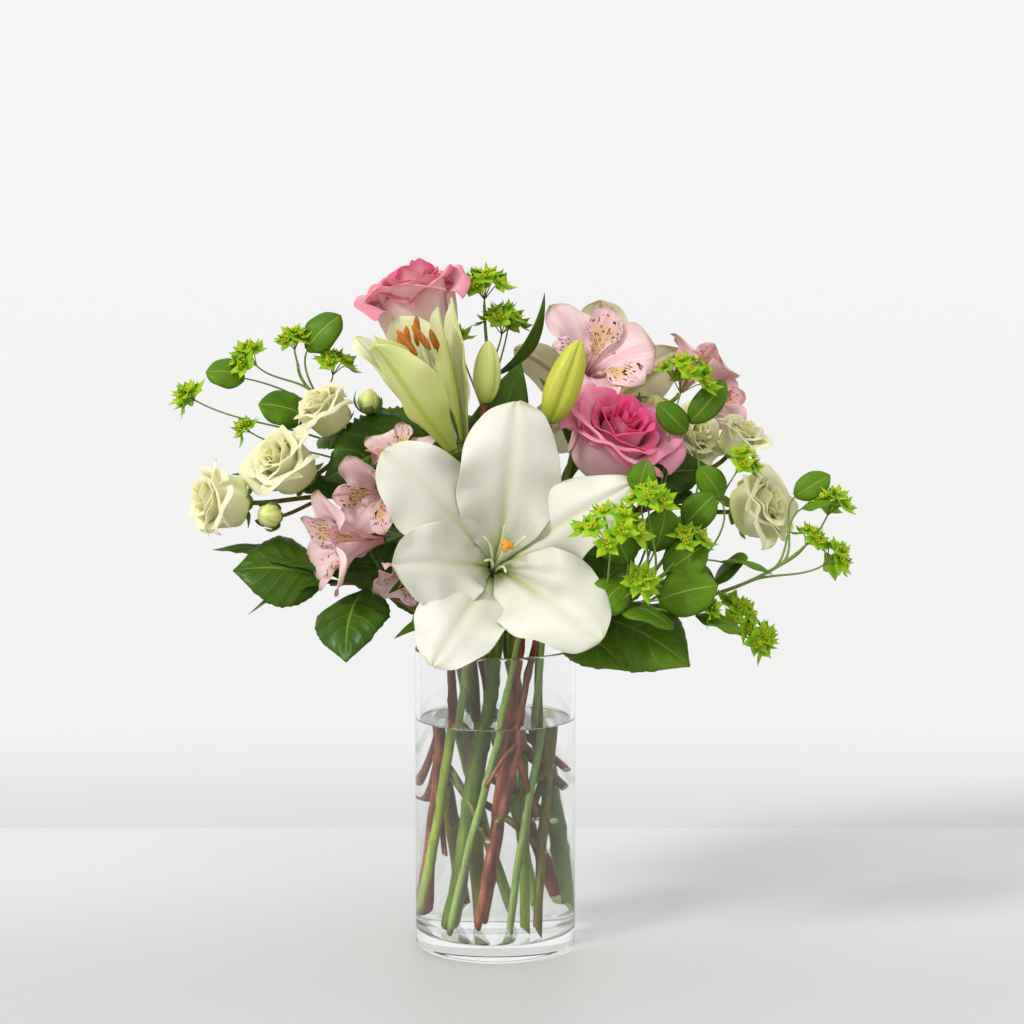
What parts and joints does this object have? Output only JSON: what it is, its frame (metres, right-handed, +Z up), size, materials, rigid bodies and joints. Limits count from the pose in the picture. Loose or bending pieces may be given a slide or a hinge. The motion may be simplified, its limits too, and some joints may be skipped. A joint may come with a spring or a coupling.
{
  "type": "vase of lilies and mixed flowers",
  "caption": "Hand-tied bouquet of ivory lilies, pink and cream roses, alstroemeria and greenery standing in a clear glass cylinder vase of water.",
  "frame": {"origin": "centre of the vase's flat underside", "axes": "+Z up the vase, -Y the bouquet's front, +X to the right of someone who faces the front"},
  "size_m": [0.4214, 0.2466, 0.4321],
  "materials": {
    "vase_glass": "gloss",
    "water": "gloss",
    "lily_petal": "satin",
    "lily_bud": "satin",
    "lily_stamen": "satin",
    "pink_rose": "satin",
    "cream_rose": "satin",
    "alstroemeria_petal": "satin",
    "bupleurum": "satin",
    "dark_leaf": "satin",
    "stem_green": "satin"
  },
  "bodies": {
    "root": {"back_lily_stem": "stem_green", "back_lily_tepal_1": "lily_petal", "back_lily_tepal_2": "lily_petal", "back_lily_tepal_3": "lily_petal", "back_lily_tepal_4": "lily_petal", "back_lily_tepal_5": "lily_petal", "back_lily_tepal_6": "lily_petal", "bupleurum_front": "bupleurum", "bupleurum_left": "bupleurum", "bupleurum_right": "bupleurum", "bupleurum_top": "bupleurum", "half_open_lily_inner": "lily_petal", "half_open_lily_tepal_1": "lily_petal", "half_open_lily_tepal_2": "lily_petal", "half_open_lily_tepal_3": "lily_petal", "left_alstroemeria_1": "alstroemeria_petal", "left_alstroemeria_2": "alstroemeria_petal", "left_alstroemeria_3": "alstroemeria_petal", "left_alstroemeria_4": "alstroemeria_petal", "left_alstroemeria_stem": "stem_green", "left_spray_rose_1": "cream_rose", "left_spray_rose_2": "cream_rose", "left_spray_rose_3": "cream_rose", "left_spray_stem": "stem_green", "lily_bud_large": "lily_bud", "lily_bud_small": "lily_bud", "lily_filament_1": "lily_stamen", "lily_filament_2": "lily_stamen", "lily_filament_3": "lily_stamen", "lily_filament_4": "lily_stamen", "lily_filament_5": "lily_stamen", "lily_filament_6": "lily_stamen", "lily_pistil": "lily_stamen", "lily_stem": "stem_green", "open_lily_tepal_1": "lily_petal", "open_lily_tepal_2": "lily_petal", "open_lily_tepal_3": "lily_petal", "open_lily_tepal_4": "lily_petal", "open_lily_tepal_5": "lily_petal", "open_lily_tepal_6": "lily_petal", "right_alstroemeria_1": "alstroemeria_petal", "right_alstroemeria_2": "alstroemeria_petal", "right_alstroemeria_3": "alstroemeria_petal", "right_alstroemeria_stem": "stem_green", "right_rose_flower": "pink_rose", "right_rose_stem": "stem_green", "right_spray_rose_1": "cream_rose", "right_spray_rose_2": "cream_rose", "right_spray_rose_3": "cream_rose", "right_spray_stem": "stem_green", "salal_back": "dark_leaf", "salal_left": "dark_leaf", "salal_right": "dark_leaf", "top_rose_flower": "pink_rose", "top_rose_stem": "stem_green", "vase": "vase_glass", "water": "water"}
  },
  "joints": []
}
